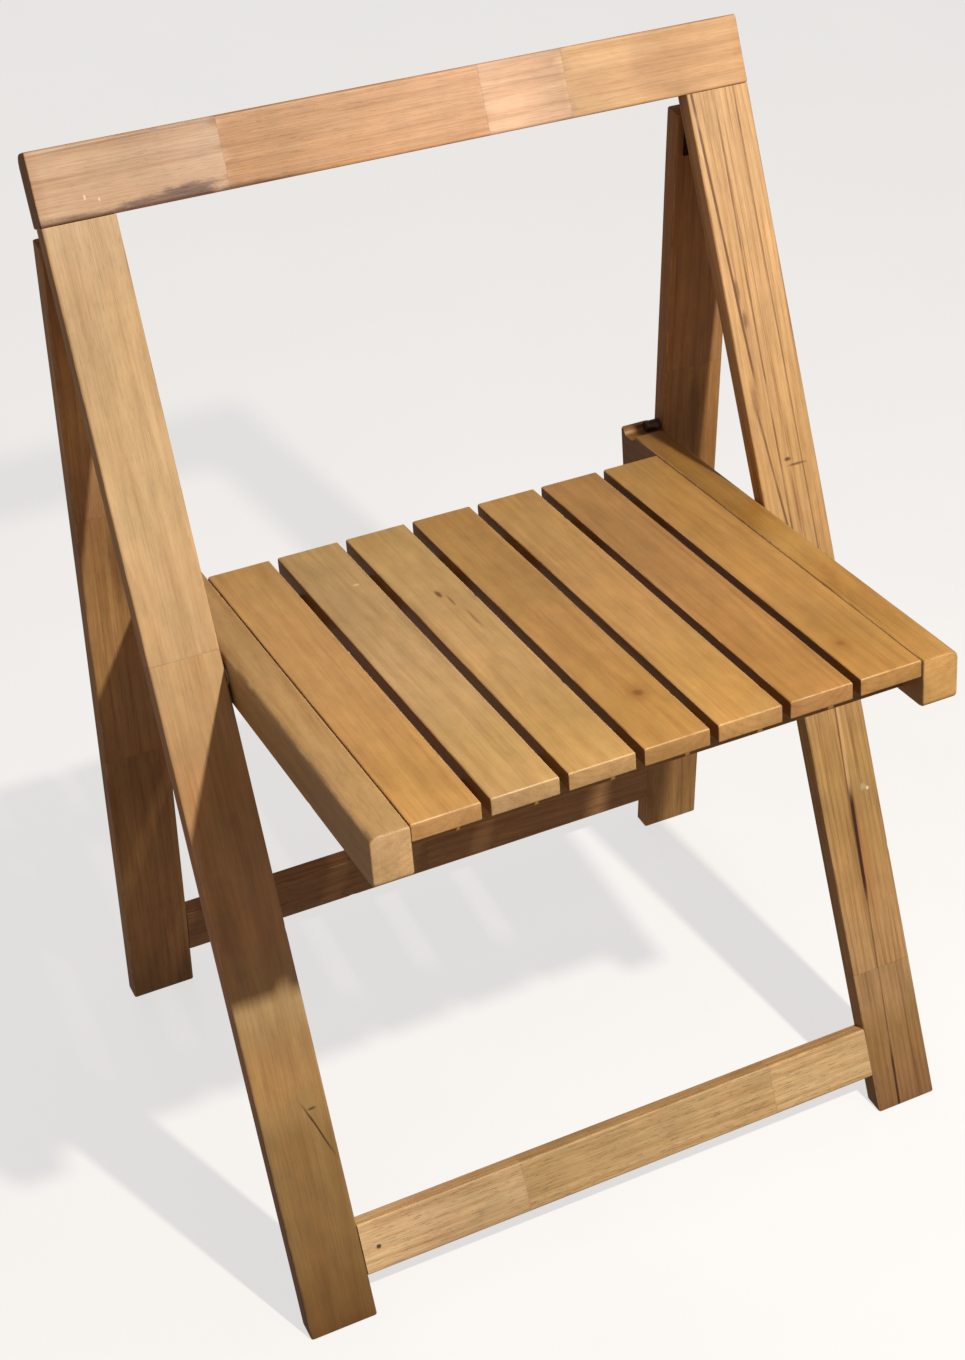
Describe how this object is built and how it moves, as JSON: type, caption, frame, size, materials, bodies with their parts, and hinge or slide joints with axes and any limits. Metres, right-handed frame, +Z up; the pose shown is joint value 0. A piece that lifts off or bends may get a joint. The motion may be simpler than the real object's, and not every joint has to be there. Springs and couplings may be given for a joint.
{
  "type": "folding chair",
  "caption": "Wooden folding chair: a leaning front frame with a top rail, rear legs hinged below the rail, and a slatted seat that swings up between the stiles so that it all lies flat.",
  "frame": {"origin": "on the floor, at the middle of the open chair's footprint", "axes": "+Z up, +X to the right across the chair as seen from its front, +Y to the rear"},
  "size_m": [0.52, 0.436, 0.7491],
  "materials": {
    "frame_wood": "oiled light hardwood, satin, worn arrises",
    "seat_wood": "varnished golden hardwood, satin",
    "batten_wood": "plain hardwood, lightly oiled",
    "dowel_wood": "unfinished beech",
    "black_steel": "dark steel, worn",
    "zinc_steel": "zinc-plated steel",
    "brass": "plain brass"
  },
  "bodies": {
    "front_frame": {"top_rail": "frame_wood", "front_stile_left": "frame_wood", "front_stile_right": "frame_wood", "front_stretcher": "frame_wood", "top_rail_dowels": "dowel_wood", "front_stretcher_dowels": "dowel_wood", "stile_hinge_leaf_left": "black_steel", "stile_hinge_leaf_right": "black_steel", "stile_hinge_screws": "black_steel", "hinge_pin_left": "zinc_steel", "hinge_pin_right": "zinc_steel", "pivot_bolt_left": "zinc_steel", "pivot_bolt_right": "zinc_steel", "pivot_insert_left": "brass", "pivot_insert_right": "brass", "pivot_washers": "zinc_steel"},
    "rear_frame": {"rear_leg_left": "frame_wood", "rear_leg_right": "frame_wood", "rear_stretcher": "frame_wood", "rear_stretcher_dowels": "dowel_wood", "leg_hinge_leaf_left": "black_steel", "leg_hinge_leaf_right": "black_steel", "leg_hinge_screws": "black_steel", "catch_pin_left": "zinc_steel", "catch_pin_right": "zinc_steel"},
    "seat": {"seat_rail_left": "seat_wood", "seat_rail_right": "seat_wood", "slat_1": "seat_wood", "slat_2": "seat_wood", "slat_3": "seat_wood", "slat_4": "seat_wood", "slat_5": "seat_wood", "slat_6": "seat_wood", "slat_7": "seat_wood", "front_batten": "batten_wood", "rear_batten": "batten_wood", "batten_dowels": "dowel_wood", "front_batten_screws": "zinc_steel", "rear_batten_screws": "zinc_steel", "pivot_bush_left": "brass", "pivot_bush_right": "brass"}
  },
  "joints": [
    {"name": "seat_fold", "type": "hinge", "parent": "front_frame", "child": "seat", "pos_m": [0, 0.03513, 0.42072], "axis": [-1, 0, 0], "range_deg": [0, 109.5]},
    {"name": "frame_fold", "type": "hinge", "parent": "front_frame", "child": "rear_frame", "pos_m": [0, 0.17495, 0.68186], "axis": [-1, 0, 0], "range_deg": [0, 28]}
  ],
  "couplings": [
    {"joint": "frame_fold", "follows": "seat_fold", "ratio": 0.2557}
  ]
}
